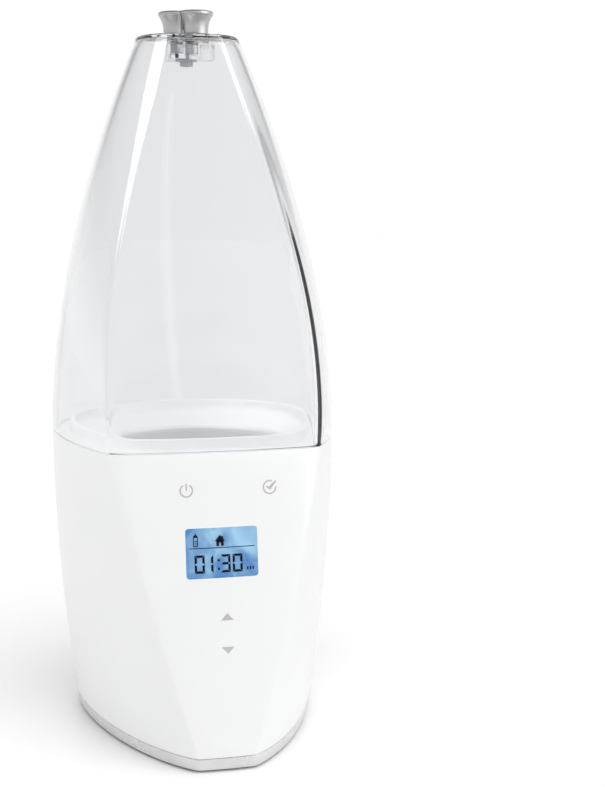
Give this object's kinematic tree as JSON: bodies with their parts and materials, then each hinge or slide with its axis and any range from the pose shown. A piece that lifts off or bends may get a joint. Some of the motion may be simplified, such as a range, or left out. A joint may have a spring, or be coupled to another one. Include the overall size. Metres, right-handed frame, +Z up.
{
  "type": "bottle warmer",
  "caption": "Upright baby-bottle warmer: white base with a heated water chamber, display and touch keys on a slanted face, and a clear lift-off dome with a vent knob.",
  "frame": {"origin": "middle of the footprint, on the surface that the feet stand on", "axes": "+Z up; -Y is the front, with the display; +X is to the right as seen from the front"},
  "size_m": [0.1206, 0.1424, 0.3028],
  "materials": {
    "clear_plastic": "clear, polished",
    "chrome_plate": "bright plated",
    "steel": "zinc plated",
    "frosted_plastic": "frosted",
    "white_gloss": "gloss white",
    "white_satin": "satin white",
    "silver_trim": "satin silver",
    "grey_plastic": "fine grained",
    "foot_rubber": "matt",
    "silicone": "satin",
    "aluminium": "anodised",
    "dark_plastic": "fine grained",
    "display_window": "clear",
    "display_glow": "backlit",
    "green_board": "lacquered",
    "brown_board": "laminate",
    "copper_tape": "taped",
    "relay_blue": "moulded",
    "brass_pin": "plated",
    "fuse_glass": "clear",
    "ceramic_body": "satin",
    "red_wire": "sleeved",
    "blue_wire": "sleeved",
    "grey_wire": "ribbon"
  },
  "bodies": {
    "base": {"housing_shell": "white_gloss", "deck_collar": "white_satin", "base_ring": "silver_trim", "bottom_cover": "grey_plastic", "rubber_feet": "foot_rubber", "cover_screws": "steel", "chamber_liner": "white_satin", "chamber_seal": "silicone", "heating_plate": "aluminium", "heating_element": "steel", "clamp_ring": "steel", "clamp_screws": "steel", "thermal_fuse": "ceramic_body", "temperature_sensor": "dark_plastic", "sensor_bracket": "steel", "lcd_window": "display_window", "lcd_frame": "white_satin", "lcd_glass": "display_glow", "lcd_backlight": "display_glow", "display_board": "green_board", "display_screws": "steel", "touch_springs": "brass_pin", "buzzer": "dark_plastic", "power_board": "brown_board", "board_screws": "steel", "transformer": "copper_tape", "relay": "relay_blue", "capacitors": "dark_plastic", "fuse_tube": "fuse_glass", "wire_terminals": "white_satin", "socket_plate": "dark_plastic", "mains_inlet": "dark_plastic", "inlet_pins": "brass_pin", "dc_jack": "dark_plastic", "dc_pin": "brass_pin", "heater_leads": "red_wire", "inlet_leads": "blue_wire", "display_ribbon": "grey_wire"},
    "dome": {"dome_shell": "clear_plastic"},
    "knob_set": {"knob": "chrome_plate", "knob_screw": "steel", "wave_washer": "steel", "vent_shutter": "frosted_plastic"}
  },
  "joints": [
    {"name": "dome_lift", "type": "slide", "parent": "base", "child": "dome", "axis": [0, 0, 1], "range_m": [0, 0.2]},
    {"name": "knob_turn", "type": "hinge", "parent": "dome", "child": "knob_set", "pos_m": [0, 0.0213, 0.29], "axis": [0, 0, 1], "range_deg": [0, 60]}
  ]
}
